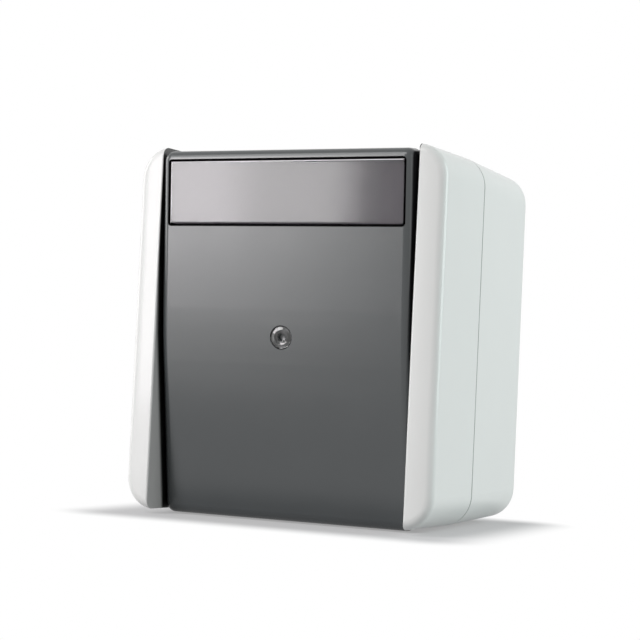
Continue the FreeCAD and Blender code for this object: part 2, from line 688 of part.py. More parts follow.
def make_plate():
    """Steel plate that carries the insert on the two posts of the base."""
    half_x = INSERT_WIDTH / 2
    half_z = INSERT_HEIGHT / 2
    plate = block(-half_x, half_x, PLATE_FRONT, PLATE_BACK, -half_z, half_z)
    ear_x = POST_X + POST_SIZE / 2
    plate = plate.fuse(block(-ear_x, ear_x, PLATE_FRONT, PLATE_BACK, -POST_SIZE / 2, POST_SIZE / 2))
    front = PLATE_FRONT - OVERRUN
    back = PLATE_BACK + OVERRUN
    open_x = LEG_SPACING / 2 + LEG_SIZE / 2 + 2 * LEG_CLEARANCE
    open_z = leg_reach(PLATE_BACK)
    plate = plate.cut(block(-open_x, open_x, front, back, -open_z, open_z))
    for x in POSTS:
        plate = plate.cut(rod_y(PLATE_SCREW_RADIUS + SCREW_PLAY, front, back, x, 0))
    slot_x = STAKE_WIDTH / 2 + STAKE_PLAY
    slot_z = STAKE_LENGTH / 2 + STAKE_PLAY
    for x, z in STAKE_SPOTS:
        plate = plate.cut(block(x - slot_x, x + slot_x, front, back, z - slot_z, z + slot_z))
    return plate.removeSplitter()


def make_stake(x, z):
    """Moulded peg of the insert body, melted over in front of the plate."""
    half_x = STAKE_WIDTH / 2
    half_z = STAKE_LENGTH / 2
    peg = block(x - half_x, x + half_x, PLATE_FRONT - STAKE_HEAD, PLATE_BACK + BITE, z - half_z, z + half_z)
    head_x = half_x + STAKE_HEAD
    head_z = half_z + STAKE_HEAD
    head = block(x - head_x, x + head_x, PLATE_FRONT - STAKE_HEAD, PLATE_FRONT, z - head_z, z + head_z)
    return peg.fuse(head)


def make_insert_body():
    """Moulded block with one open chamber for each pole and a wire hole at each end of it."""
    half_x = INSERT_WIDTH / 2
    half_z = INSERT_HEIGHT / 2
    body = block(-half_x, half_x, PLATE_BACK, INSERT_BACK, -half_z, half_z)
    half = CHAMBER_WIDTH / 2
    deep = CHAMBER_HEIGHT / 2
    wire = CAGE_WIDTH / 2 - CAGE_WALL
    for x in POLES:
        body = body.cut(block(x - half, x + half, PLATE_BACK - OVERRUN, CHAMBER_FLOOR, -deep, deep))
        hole = block(x - wire, x + wire, CAGE_FRONT + CAGE_WALL, STRIP_FRONT, -half_z - OVERRUN, half_z + OVERRUN)
        body = body.cut(hole)
    for x, z in STAKE_SPOTS:
        body = body.fuse(make_stake(x, z))
    return body.removeSplitter()


def make_cage(x, end):
    """Square tube that the wire is pushed into; end is +1 at the top and -1 at the bottom."""
    z = end * CAGE_Z
    half_x = CAGE_WIDTH / 2
    half_z = CAGE_LENGTH / 2
    cage = block(x - half_x, x + half_x, CAGE_FRONT, CHAMBER_FLOOR, z - half_z, z + half_z)
    wire = half_x - CAGE_WALL
    low, high = z - half_z - OVERRUN, z + half_z + OVERRUN
    return cage.cut(block(x - wire, x + wire, CAGE_FRONT + CAGE_WALL, STRIP_FRONT, low, high))


def make_clamp_springs():
    """Four bent leaf springs that hold the wires in their cages, as separate solids of one group."""
    flat = CAGE_FRONT + CAGE_WALL
    half = CAGE_LENGTH / 2
    tip = STRIP_FRONT - CLAMP_TIP_GAP
    leaf = CLAMP_LEAF
    points = [
        (flat, -half),
        (flat, half),
        (flat + leaf, half),
        (flat + leaf, -half + 2 * leaf),
        (tip, half / 2),
        (tip, half / 2 - 2 * leaf),
        (flat + leaf, -half),
    ]
    springs = []
    for x in POLES:
        for end in (-1, 1):
            bent = [(y, end * (CAGE_Z - z)) for y, z in points]
            springs.append(polygon_x(bent, x - CLAMP_LEAF_WIDTH / 2, x + CLAMP_LEAF_WIDTH / 2))
    return Part.makeCompound(springs)


def make_line_terminal(x):
    """Feed terminal of one pole: cage, strip and the round edge the see-saw rocks on."""
    half = STRIP_WIDTH / 2
    pin = SEESAW_PIN_RADIUS
    far = CAGE_Z - CAGE_LENGTH / 2 + BITE
    terminal = make_cage(x, 1)
    terminal = terminal.fuse(block(x - half, x + half, STRIP_FRONT, CHAMBER_FLOOR, -2 * pin, far))
    terminal = terminal.fuse(block(x - half, x + half, SEESAW_Y, STRIP_FRONT + BITE, -pin, pin))
    terminal = terminal.fuse(rod_x(pin, x - half, x + half, SEESAW_Y, 0))
    return terminal.removeSplitter()


def closed_tip_depth():
    """Depth that the back of a moving contact tip reaches when the contact is closed."""
    level = SEESAW_BACK - TIP_REACH * math.tan(WING) - SEESAW_Y
    deepest = SEESAW_Y
    for along in (-TIP_SIZE / 2, TIP_SIZE / 2):
        y = level + TIP_HEIGHT * math.cos(WING) - along * math.sin(WING)
        z = TIP_REACH + along * math.cos(WING) + TIP_HEIGHT * math.sin(WING)
        deepest = max(deepest, SEESAW_Y + y * math.cos(SWING) + z * math.sin(SWING))
    return deepest


def make_load_terminal(x):
    """Load terminal of one pole: cage and the strip below the fixed contact tip."""
    half = STRIP_WIDTH / 2
    far = -CAGE_Z + CAGE_LENGTH / 2 - BITE
    near = -TIP_REACH + TIP_SIZE / 2 + STRIP_THICKNESS
    terminal = make_cage(x, -1)
    return terminal.fuse(block(x - half, x + half, STRIP_FRONT, CHAMBER_FLOOR, far, near)).removeSplitter()


def contact_tip(y0, y1):
    """Square contact tip between two depths, on the Y axis."""
    half = TIP_SIZE / 2
    return block(-half, half, y0, y1, -half, half)


def make_fixed_tips():
    """Two fixed contact tips, as separate solids of one group."""
    tips = []
    for x in POLES:
        tip = contact_tip(closed_tip_depth() + TIP_GAP, STRIP_FRONT)
        tip.translate(Vector(x, 0, -TIP_REACH))
        tips.append(tip)
    return Part.makeCompound(tips)


def make_seesaw(x):
    """Contact see-saw: a strip with two wings and a saddle over the round edge; drawn level."""
    half = STRIP_WIDTH / 2
    rise = SEESAW_HALF_LENGTH * math.tan(WING)
    points = [
        (SEESAW_FRONT, 0),
        (SEESAW_FRONT - rise, SEESAW_HALF_LENGTH),
        (SEESAW_BACK - rise, SEESAW_HALF_LENGTH),
        (SEESAW_BACK, 0),
        (SEESAW_BACK - rise, -SEESAW_HALF_LENGTH),
        (SEESAW_FRONT - rise, -SEESAW_HALF_LENGTH),
    ]
    strip = polygon_x(points, x - half, x + half)
    inner = SEESAW_PIN_RADIUS + SEESAW_PLAY
    outer = inner + SADDLE_WALL
    foot = SEESAW_Y + SADDLE_LIP
    points = [(SEESAW_FRONT, -outer), (SEESAW_FRONT, outer), (foot, outer), (foot, -outer)]
    saddle = polygon_x(points, x - half, x + half)
    points = [(SEESAW_BACK, -inner), (SEESAW_BACK, inner), (foot + OVERRUN, inner), (foot + OVERRUN, -inner)]
    slot = polygon_x(points, x - half - OVERRUN, x + half + OVERRUN)
    return strip.fuse(saddle).cut(slot).removeSplitter()


def make_moving_tips():
    """Two contact tips on the lower wings, as separate solids of one group; drawn level."""
    depth = SEESAW_BACK - TIP_REACH * math.tan(WING)
    tips = []
    for x in POLES:
        tip = contact_tip(0, TIP_HEIGHT)
        tip.rotate(Vector(0, 0, 0), ALONG_X, -SEESAW_WING_DEGREES)
        tip.translate(Vector(x, depth, -TIP_REACH))
        tips.append(tip)
    return Part.makeCompound(tips)


def make_holder():
    """Lamp holder with a square socket, on the insert body between the legs."""
    half = HOLDER_SIZE / 2
    socket = LAMP_RADIUS + LAMP_PLAY
    holder = block(-half, half, HOLDER_FRONT, PLATE_BACK, -half, half)
    return holder.cut(block(-socket, socket, HOLDER_FRONT - OVERRUN, HOLDER_FRONT + LAMP_SOCKET, -socket, socket))


def make_lamp():
    """Glow lamp in its holder."""
    return rod_y(LAMP_RADIUS, LAMP_FRONT, HOLDER_FRONT + LAMP_SOCKET)


def make_plate_screws():
    """Two screws that hold the plate on its posts, as separate solids of one group."""
    screws = []
    for x in POSTS:
        screws.append(
            slotted_screw(
                x, 0, PLATE_FRONT, PLATE_HEAD_RADIUS, PLATE_HEAD_HEIGHT, PLATE_SCREW_RADIUS, PLATE_BACK + SCREW_BITE
            )
        )
    return Part.makeCompound(screws)


LEFT, RIGHT = POLES
PIECES = {
    "base_box": make_base(),
    "cover_frame": make_cover(),
    "housing_gasket": make_gasket(),
    "cable_grommets": make_grommets(),
    "sealing_boot": make_boot(),
    "rocker": tilted(make_rocker()),
    "label_card": tilted(make_card()),
    "label_window": tilted(make_window()),
    "indicator_lens": tilted(make_lens()),
    "drive_fork": tilted(make_fork()),
    "left_plunger": tilted(make_plunger(LEFT)),
    "right_plunger": tilted(make_plunger(RIGHT)),
    "left_plunger_spring": tilted(make_spring(LEFT)),
    "right_plunger_spring": tilted(make_spring(RIGHT)),
    "support_plate": make_plate(),
    "plate_screws": make_plate_screws(),
    "insert_body": make_insert_body(),
    "left_contact_seesaw": seesaw_at_rest(make_seesaw(LEFT)),
    "right_contact_seesaw": seesaw_at_rest(make_seesaw(RIGHT)),
    "moving_contact_tips": seesaw_at_rest(make_moving_tips()),
    "fixed_contact_tips": make_fixed_tips(),
    "left_line_terminal": make_line_terminal(LEFT),
    "right_line_terminal": make_line_terminal(RIGHT),
    "left_load_terminal": make_load_terminal(LEFT),
    "right_load_terminal": make_load_terminal(RIGHT),
    "wire_clamp_springs": make_clamp_springs(),
    "lamp_holder": make_holder(),
    "pilot_lamp": make_lamp(),
}

os.makedirs("parts", exist_ok=True)
for name, shape in PIECES.items():
    shape.exportStep("parts/" + name + ".step")
    box = shape.BoundBox
    print(
        name,
        "solids", len(shape.Solids),
        "volume", round(shape.Volume, 1),
        "valid", shape.isValid(),
        "x", round(box.XMin, 2), round(box.XMax, 2),
        "y", round(box.YMin, 2), round(box.YMax, 2),
        "z", round(box.ZMin, 2), round(box.ZMax, 2),
    )
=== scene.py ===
# %% [markdown]
# # A weatherproof rocker switch, dressed for the studio
# The switch stands on a wall outdoors: a pale grey two-part box, a dark rocker as tall as the box, a label
# field behind a clear window and a small round lens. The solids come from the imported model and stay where
# they are. This lesson gives them finishes, adds the fine pieces that are moulded or turned, and lights
# them.

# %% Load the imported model
import bpy
import json
import math
from mathutils import Matrix, Vector


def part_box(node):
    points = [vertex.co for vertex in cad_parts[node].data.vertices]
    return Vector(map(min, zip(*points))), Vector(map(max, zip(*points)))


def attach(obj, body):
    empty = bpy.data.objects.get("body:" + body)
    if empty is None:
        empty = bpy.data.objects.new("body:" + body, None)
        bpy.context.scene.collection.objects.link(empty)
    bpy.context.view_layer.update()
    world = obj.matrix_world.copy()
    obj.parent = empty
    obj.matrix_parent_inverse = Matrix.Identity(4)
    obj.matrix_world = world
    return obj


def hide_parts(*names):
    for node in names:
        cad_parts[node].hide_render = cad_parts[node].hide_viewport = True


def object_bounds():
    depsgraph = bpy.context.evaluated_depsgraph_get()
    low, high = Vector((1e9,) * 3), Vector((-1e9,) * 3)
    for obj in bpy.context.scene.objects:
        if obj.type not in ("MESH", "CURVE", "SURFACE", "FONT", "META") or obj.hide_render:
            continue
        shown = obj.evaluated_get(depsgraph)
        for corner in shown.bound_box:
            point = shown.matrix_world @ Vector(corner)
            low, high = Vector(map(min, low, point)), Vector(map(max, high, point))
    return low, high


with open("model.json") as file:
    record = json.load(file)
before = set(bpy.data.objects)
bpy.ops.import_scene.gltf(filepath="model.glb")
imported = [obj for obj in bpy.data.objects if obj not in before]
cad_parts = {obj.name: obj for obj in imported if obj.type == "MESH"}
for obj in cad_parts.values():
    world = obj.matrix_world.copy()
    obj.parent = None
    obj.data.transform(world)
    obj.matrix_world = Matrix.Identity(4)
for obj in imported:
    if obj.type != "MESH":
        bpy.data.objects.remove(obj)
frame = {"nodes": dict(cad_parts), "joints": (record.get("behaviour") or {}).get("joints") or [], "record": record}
cad_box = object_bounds()
nodes = frame["nodes"]
joints = {joint["name"]: joint for joint in frame["joints"]}
MM = 0.001
print("nodes", len(nodes), "CAD box", [tuple(round(v, 4) for v in corner) for corner in cad_box])

# %% [markdown]
# ## Where the camera stood
# The photograph was taken from the right, a touch below the middle of the switch, with a long lens and the
# camera rolled by a few degrees. Those angles could be guessed by eye, but a fit to straight edges of the
# box gave them, so the render lies on the photograph. The rotation is built from the camera's own right,
# up and back.

# %% Camera
CAMERA_AZIMUTH = math.radians(24.80)
CAMERA_ELEVATION = math.radians(-2.08)
CAMERA_ROLL = math.radians(2.672)
CAMERA_DISTANCE = 358.0 * MM
CAMERA_TARGET = Vector((-2.654, -25.03, 3.475)) * MM
NEAREST_SEEN = 10 * MM
PHOTO_PIXELS = 640
FOCAL_PIXELS = 1688.8
SENSOR_MM = 36.0


def make_camera():
    lens = bpy.data.cameras.new("studio_camera")
    lens.sensor_width = SENSOR_MM
    lens.lens = SENSOR_MM * FOCAL_PIXELS / PHOTO_PIXELS
    lens.clip_start = NEAREST_SEEN
    camera = bpy.data.objects.new("studio_camera", lens)
    bpy.context.scene.collection.objects.link(camera)
    level = Vector((math.cos(CAMERA_AZIMUTH), math.sin(CAMERA_AZIMUTH), 0))
    outward = Vector((math.sin(CAMERA_AZIMUTH), -math.cos(CAMERA_AZIMUTH), 0))
    back = outward * math.cos(CAMERA_ELEVATION) + Vector((0, 0, math.sin(CAMERA_ELEVATION)))
    upright = back.cross(level)
    right = math.cos(CAMERA_ROLL) * level + math.sin(CAMERA_ROLL) * upright
    up = back.cross(right)
    turn = Matrix((right, up, back)).transposed().to_4x4()
    camera.matrix_world = Matrix.Translation(CAMERA_TARGET + back * CAMERA_DISTANCE) @ turn
    bpy.context.scene.camera = camera
    return camera


camera = make_camera()
print("camera at", [round(v / MM, 1) for v in camera.matrix_world.translation], "mm")
print("lens", round(camera.data.lens, 1), "mm")

# %% [markdown]
# ## Sums in a material
# A finish is a sum of a few patterns: a cloud of colour, a grain, a little dirt. Wiring each sum by hand in
# the node editor is slow to read, so one small class stands for a socket. It adds, subtracts and multiplies
# as a number does, and one method of it makes any other node.

# %% A socket that can be used in sums
class Tone:
    """One socket of a node tree."""

    def __init__(self, tree, socket):
        self.tree = tree
        self.socket = socket

    def node(self, kind, settings=None, sockets=None, out=0):
        """Adds a node: its settings first, then the values or links of its sockets."""
        made = self.tree.nodes.new(kind)
        for name, value in (settings or {}).items():
            if name == "stops":
                ramp = made.color_ramp.elements
                for stop, (place, colour) in zip((ramp[0], ramp[1]), value):
                    stop.position = place
                    stop.color = colour
            else:
                setattr(made, name, value)
        for name, value in (sockets or {}).items():
            if isinstance(value, Tone):
                self.tree.links.new(value.socket, made.inputs[name])
            else:
                made.inputs[name].default_value = value
        return Tone(self.tree, made.outputs[out]) if made.outputs else None

    def math(self, operation, first, second):
        return self.node("ShaderNodeMath", {"operation": operation}, {0: first, 1: second})

    def __add__(self, other):
        return self.math("ADD", self, other)

    def __radd__(self, other):
        return self.math("ADD", other, self)

    def __sub__(self, other):
        return self.math("SUBTRACT", self, other)

    def __rsub__(self, other):
        return self.math("SUBTRACT", other, self)

    def __mul__(self, other):
        return self.math("MULTIPLY", self, other)

    def __rmul__(self, other):
        return self.math("MULTIPLY", other, self)


print("sums of sockets are made by", Tone.__name__)

# %% [markdown]
# ## Patterns and skins
# Every finish starts from the place on its piece, in metres, so that a pattern has its real size. The
# patterns are noises. A ramp turns one into a colour and a bump turns one into relief. Image textures could
# do it too, but they need a flat map of each piece. The two mixing nodes have several sockets of the same
# name, so theirs are numbered, and each of the two has a helper of its own.

# %% Start and end a finish
def start_finish(name):
    """A new material and the place on the piece, in metres."""
    material = bpy.data.materials.new(name)
    material.use_nodes = True
    material.node_tree.nodes.clear()
    place = Tone(material.node_tree, None).node("ShaderNodeTexCoord", out="Object")
    return material, place


def principled(place, sockets):
    """The shader of nearly every skin, with the values or links of its sockets."""
    return place.node("ShaderNodeBsdfPrincipled", None, sockets)


def mix_skins(mask, first, second):
    """The first shader where the mask is 0 and the second where it is 1."""
    return mask.node("ShaderNodeMixShader", None, {0: mask, 1: first, 2: second})


def end_finish(material, shader):
    """The material, with its shader in place."""
    shader.node("ShaderNodeOutputMaterial", None, {"Surface": shader})
    return material


print("a finish goes from", start_finish.__name__, "to", end_finish.__name__)

# %% Patterns in metres
MIX_FACTOR = 0
MIX_UNDER = 6
MIX_OVER = 7
MIX_COLOUR = 2


def noise(place, size, detail=2.0, rough=0.5):
    """Soft cloud pattern, from 0 to 1, with patches about as large as size in metres."""
    sockets = {"Vector": place, "Scale": 1 / size, "Detail": detail, "Roughness": rough}
    return place.node("ShaderNodeTexNoise", None, sockets)


def between(mask, dark, light):
    """A colour between two, by a mask from 0 to 1."""
    stops = ((0.0, tuple(dark) + (1,)), (1.0, tuple(light) + (1,)))
    return mask.node("ShaderNodeValToRGB", {"stops": stops}, {"Fac": mask})


def paint_over(mask, colour, paint):
    """A colour with paint over it, by a mask from 0 to 1."""
    sockets = {MIX_FACTOR: mask, MIX_UNDER: colour, MIX_OVER: paint}
    return mask.node("ShaderNodeMix", {"data_type": "RGBA"}, sockets, out=MIX_COLOUR)


def smooth_step(value, low, high):
    """0 below low and 1 above high, with a soft change between."""
    limits = {"Value": value, "From Min": low, "From Max": high}
    return value.node("ShaderNodeMapRange", {"interpolation_type": "SMOOTHSTEP"}, limits)


def bump(place, height, depth):
    """Surface normal of a pattern that rises by depth in metres."""
    return place.node("ShaderNodeBump", None, {"Strength": 1.0, "Distance": depth, "Height": height})


print("patterns", [pattern.__name__ for pattern in (noise, between, paint_over, smooth_step, bump)])

# %% [markdown]
# ## Places on the switch
# Dirt, painted shade and matt skins sit at certain places: dirt in the joint of the box, painted shade in the
# slots beside the rocker, and a matt skin darkened as painted shade inside the label's recess. They could be
# painted on the mesh, but the solids keep their meshes, so a material works out where it is. The rocker rests
# half its travel away from level. Its places are measured with it set level, from the two flat faces that meet
# in a ridge across its middle.

# %% Where a point is
ROCKER_JOINT = joints["rocker_tilt"]
PIVOT = Vector(ROCKER_JOINT["pos_m"])
TILT = math.radians(ROCKER_JOINT["range_deg"][1] / 2)
# How far each of the rocker's two faces leans, and where they would meet without the soft ridge
KINK = math.radians(2.4)
FACE_VERTEX = -49.114 * MM


def axes_of(place):
    """The three numbers of a place, each as a socket of its own."""
    return [place.node("ShaderNodeSeparateXYZ", None, {"Vector": place}, out=axis) for axis in "XYZ"]


def size_of(value):
    """A number without its sign."""
    return value.math("ABSOLUTE", value, 0.0)


def rocker_places(place):
    """How far across, how far behind the rocker's face and how high a place is, on the level rocker."""
    turn = Matrix.Rotation(-TILT, 3, "X")
    move = {"Vector": place, "Location": -(turn @ PIVOT), "Rotation": (-TILT, 0, 0)}
    across, deep, height = axes_of(place.node("ShaderNodeMapping", None, move))
    behind = deep - (FACE_VERTEX - PIVOT.y) - size_of(height) * math.tan(KINK)
    return size_of(across), behind, height


print("rocker rests", round(math.degrees(TILT), 1), "degrees from level")
print("its bearing is at", [round(v / MM, 1) for v in PIVOT], "mm")

# %% [markdown]
# ## Moulded plastics
# The box and the rocker are injection moulded. Such a skin is never one flat colour: it has a faint cloud
# from the melt, a grain etched into the tool and a few duller spots from hands or weather. A noise of about
# two centimetres gives the cloud, one of less than a millimetre the grain, and one between them the duller
# spots. Outdoors, dirt collects in the groove between base and cover, so the box is darker there. The slots
# beside the rocker are darkened too, as painted shade, because the gap there lies in shade.

# %% Dirt in the joint and painted shade in the slots
SEAM_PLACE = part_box("base_box")[0][1]
SEAM_HALF = 0.26 * MM
SEAM_CORE = 0.5 * SEAM_HALF
SEAM_DIRT = (0.20, 0.21, 0.21, 1)
DIRT_PATCH = 5 * MM
DIRT_LEAST = 0.55
DIRT_MORE = 0.5
# Where the slots beside the rocker are painted with shade, and the colour of that painted shade
SLOT_HALF = 28.2 * MM
SLOT_EDGE = 0.15 * MM
SLOT_FADE_START = -0.9 * MM
SLOT_FADE_END = 0.5 * MM
SLOT_DEEP = -36.0 * MM
SLOT_BOTTOM_FADE = 1 * MM
SLOT_SHADE_COLOUR = (0.012, 0.012, 0.012, 1)


def seam_dirt_and_slot_shade(place, colour):
    """Darkens the joint of the box, where dirt collects, and paints shade into the slots beside the rocker."""
    depth = axes_of(place)[1]
    seam = 1 - smooth_step(size_of(depth - SEAM_PLACE), SEAM_CORE, SEAM_HALF)
    dirt = seam * (DIRT_LEAST + DIRT_MORE * noise(place, DIRT_PATCH, detail=3.0))
    colour = paint_over(dirt, colour, SEAM_DIRT)
    # Painted shade: the cheeks' inner walls go near black behind the rocker's face, where the gap lies in shade
    across, behind = rocker_places(place)[:2]
    slot_shade = 1 - smooth_step(across, SLOT_HALF, SLOT_HALF + SLOT_EDGE)
    slot_shade = slot_shade * smooth_step(behind, SLOT_FADE_START, SLOT_FADE_END)
    slot_shade = slot_shade * (1 - smooth_step(depth, SLOT_DEEP - SLOT_BOTTOM_FADE, SLOT_DEEP))
    return paint_over(slot_shade, colour, SLOT_SHADE_COLOUR)


print("joint at", round(SEAM_PLACE / MM, 2), "mm, dirt within", round(SEAM_HALF / MM, 2), "mm of it")

# %% Plastic finishes
CLOUD_SIZE = 18 * MM
SMEAR_SIZE = 7 * MM
CLOUD_SHARE = 0.7
GRAIN_SHARE = 0.3
SMEAR_ROUGH = 0.08
GRAIN_ROUGH = 0.05
COAT_ROUGH = 0.08
MEAN = 0.5


def plastic_skin(place, dark, light, rough, grain_size, grain_depth, coat=0.0, specular=0.5, jointed=False):
    """Shader of a moulded skin; when asked, with dirt in the joint and painted shade in the rocker's slots."""
    cloud = noise(place, CLOUD_SIZE, detail=3.0)
    grain = noise(place, grain_size, detail=2.0, rough=0.6)
    smear = noise(place, SMEAR_SIZE, detail=4.0, rough=0.65)
    colour = between(cloud * CLOUD_SHARE + grain * GRAIN_SHARE, dark, light)
    if jointed:
        colour = seam_dirt_and_slot_shade(place, colour)
    sockets = {
        "Base Color": colour,
        "Roughness": rough + (smear - MEAN) * SMEAR_ROUGH + (grain - MEAN) * GRAIN_ROUGH,
        "Normal": bump(place, grain, grain_depth),
        "Coat Weight": coat,
        "Coat Roughness": COAT_ROUGH,
        "Specular IOR Level": specular,
    }
    return principled(place, sockets)


def moulded_plastic(name, dark, light, **skin):
    material, place = start_finish(name)
    return end_finish(material, plastic_skin(place, dark, light, **skin))


HOUSING = moulded_plastic(
    "housing_plastic",
    (0.69, 0.70, 0.685),
    (0.73, 0.74, 0.725),
    rough=0.34,
    grain_size=0.35 * MM,
    grain_depth=0.004 * MM,
    coat=0.3,
    jointed=True,
)
WHITE = moulded_plastic(
    "white_plastic",
    (0.74, 0.73, 0.70),
    (0.80, 0.79, 0.77),
    rough=0.42,
    grain_size=0.3 * MM,
    grain_depth=0.005 * MM,
)
INSERT = moulded_plastic(
    "insert_plastic",
    (0.62, 0.60, 0.55),
    (0.68, 0.66, 0.61),
    rough=0.5,
    grain_size=0.3 * MM,
    grain_depth=0.008 * MM,
)
# Painted highlight: a pale skin for the window's rim along its top and left, where the light catches it
RIM_HIGHLIGHT_SKIN = moulded_plastic(
    "rim_painted_highlight",
    (0.80, 0.77, 0.81),
    (0.90, 0.87, 0.91),
    rough=0.5,
    grain_size=0.2 * MM,
    grain_depth=0.003 * MM,
)
print("plastics", [finish.name for finish in (HOUSING, WHITE, INSERT, RIM_HIGHLIGHT_SKIN)])

# %% [markdown]
# ## The rocker's two skins
# The mould of the rocker is polished only where it shows. The sides that run in the housing and the walls of
# the label's recess are left matt, and their colour is painted near black as shade, so the gaps beside the
# rocker look black. Two finishes could be given to two groups of faces, but the solid's mesh stays as it is,
# so one material mixes a polished and a matt, shaded skin by place.

# %% Rocker finish
LABEL_MIDDLE = 28.8 * MM
RECESS_HALF_X = 26.15 * MM
RECESS_HALF_Z = 6.8 * MM
RECESS_SOFT = 0.15 * MM
RECESS_FADE_START = 0.5 * RECESS_SOFT
RECESS_FADE_END = 2 * RECESS_SOFT
ROCKER_HALF = 27.7 * MM
MATT_START = ROCKER_HALF - 0.75 * MM
MATT_END = ROCKER_HALF - 0.35 * MM
MATT_GRAIN = 0.5 * MM


def matt_shade_places(place):
    """1 on the rocker's sides and in the recess, which are matt and painted dark as shade, and 0 on the polished
    front.
    """
    across, behind, height = rocker_places(place)
    side = smooth_step(across, MATT_START, MATT_END)
    from_middle = size_of(height - LABEL_MIDDLE)
    inside = 1 - smooth_step(across, RECESS_HALF_X, RECESS_HALF_X + RECESS_SOFT)
    inside = inside * (1 - smooth_step(from_middle, RECESS_HALF_Z, RECESS_HALF_Z + RECESS_SOFT))
    inside = inside * smooth_step(behind, RECESS_FADE_START, RECESS_FADE_END)
    return place.math("MAXIMUM", side, inside)


def rocker_plastic():
    material, place = start_finish("rocker_plastic")
    polished = plastic_skin(
        place,
        (0.034, 0.039, 0.041),
        (0.044, 0.050, 0.052),
        rough=0.22,
        grain_size=0.22 * MM,
        grain_depth=0.003 * MM,
        specular=0.75,
    )
    # Painted shade: the matt skin is near black, so the gaps beside the rocker and the recess look dark
    colour = between(noise(place, MATT_GRAIN), (0.006, 0.006, 0.007), (0.012, 0.012, 0.013))
    matt_shade_skin = principled(place, {"Base Color": colour, "Roughness": 0.9, "Specular IOR Level": 0.05})
    return end_finish(material, mix_skins(matt_shade_places(place), polished, matt_shade_skin))


ROCKER = rocker_plastic()
print("rocker finish", ROCKER.name)

# %% [markdown]
# ## Rubber, metal, paper and clear plastic
# The grommets and the gasket are matt rubber with a fine bloom. Springs, plate and contacts are metal, whose
# streaks come from stretching a noise along one axis. The label card is plain paper with short fibres. The
# window and the lens are clear plastic, which lets the card show through, and the pilot lamp's glass is made
# in the same way.

# %% Rubber
BLOOM_SIZE = 2.5 * MM
BLOOM_ROUGH = 0.3
RUBBER_ROUGH = 0.62
RUBBER_GRAIN = 0.4 * MM
RUBBER_DEPTH = 0.02 * MM


def rubber(name, dark, light):
    material, place = start_finish(name)
    bloom = noise(place, BLOOM_SIZE, detail=4.0, rough=0.6)
    grain = noise(place, RUBBER_GRAIN, detail=3.0)
    sockets = {
        "Base Color": between(bloom, dark, light),
        "Roughness": RUBBER_ROUGH + (bloom - MEAN) * BLOOM_ROUGH,
        "Normal": bump(place, grain, RUBBER_DEPTH),
    }
    return end_finish(material, principled(place, sockets))


GREY_RUBBER = rubber("grey_rubber", (0.33, 0.35, 0.35), (0.42, 0.44, 0.44))
BLACK_RUBBER = rubber("black_rubber", (0.018, 0.018, 0.018), (0.032, 0.032, 0.032))
BOOT_RUBBER = rubber("boot_rubber", (0.42, 0.42, 0.40), (0.52, 0.52, 0.50))
print("rubbers", [finish.name for finish in (GREY_RUBBER, BLACK_RUBBER, BOOT_RUBBER)])

# %% Metal
STREAK_SIZE = 0.25 * MM
STREAK_STRETCH = (1.0, 1.0, 0.06)
STREAK_SHARE = 0.5
STREAK_ROUGH = 0.2
STREAK_DEPTH = 0.006 * MM
STAIN_SIZE = 4 * MM
STAIN_SHARE = 0.5
STAIN_ROUGH = 0.12


def drawn_metal(name, dark, light, rough):
    material, place = start_finish(name)
    along = place.node("ShaderNodeMapping", None, {"Vector": place, "Scale": STREAK_STRETCH})
    streak = noise(along, STREAK_SIZE, detail=3.0, rough=0.6)
    stain = noise(place, STAIN_SIZE, detail=3.0)
    sockets = {
        "Base Color": between(streak * STREAK_SHARE + stain * STAIN_SHARE, dark, light),
        "Metallic": 1.0,
        "Roughness": rough + (streak - MEAN) * STREAK_ROUGH + (stain - MEAN) * STAIN_ROUGH,
        "Normal": bump(place, streak, STREAK_DEPTH),
    }
    return end_finish(material, principled(place, sockets))


ZINC = drawn_metal("zinc_steel", (0.50, 0.51, 0.52), (0.66, 0.66, 0.66), rough=0.36)
SPRING = drawn_metal("spring_steel", (0.36, 0.36, 0.37), (0.50, 0.50, 0.51), rough=0.3)
BRASS = drawn_metal("contact_brass", (0.60, 0.43, 0.17), (0.74, 0.56, 0.26), rough=0.32)
SILVER = drawn_metal("contact_silver", (0.70, 0.69, 0.66), (0.82, 0.81, 0.79), rough=0.28)
print("metals", [finish.name for finish in (ZINC, SPRING, BRASS, SILVER)])

# %% Paper
FIBRE_SIZE = 0.3 * MM
FIBRE_STRETCH = (0.35, 1.0, 1.0)
FIBRE_ROUGH = 0.2
FIBRE_DEPTH = 0.01 * MM
PAPER_ROUGH = 0.7


def paper_card(name, dark, light):
    material, place = start_finish(name)
    along = place.node("ShaderNodeMapping", None, {"Vector": place, "Scale": FIBRE_STRETCH})
    fibre = noise(along, FIBRE_SIZE, detail=4.0, rough=0.7)
    sockets = {
        "Base Color": between(fibre, dark, light),
        "Roughness": PAPER_ROUGH + (fibre - MEAN) * FIBRE_ROUGH,
        "Normal": bump(place, fibre, FIBRE_DEPTH),
    }
    return end_finish(material, principled(place, sockets))


CARD = paper_card("label_paper", (0.060, 0.050, 0.062), (0.085, 0.072, 0.088))
print("paper", CARD.name)

# %% Clear plastic and glass
RIPPLE_SIZE = 3 * MM
RIPPLE_SHADE = 0.97
RIPPLE_ROUGH = 0.04
RIPPLE_DEPTH = 0.002 * MM


def clear_plastic(name, tint, rough, ior=1.49):
    material, place = start_finish(name)
    ripple = noise(place, RIPPLE_SIZE, detail=2.0)
    sockets = {
        "Base Color": between(ripple, [RIPPLE_SHADE * value for value in tint], tint),
        "Roughness": rough + (ripple - MEAN) * RIPPLE_ROUGH,
        "Normal": bump(place, ripple, RIPPLE_DEPTH),
        "Transmission Weight": 1.0,
        "IOR": ior,
    }
    return end_finish(material, principled(place, sockets))


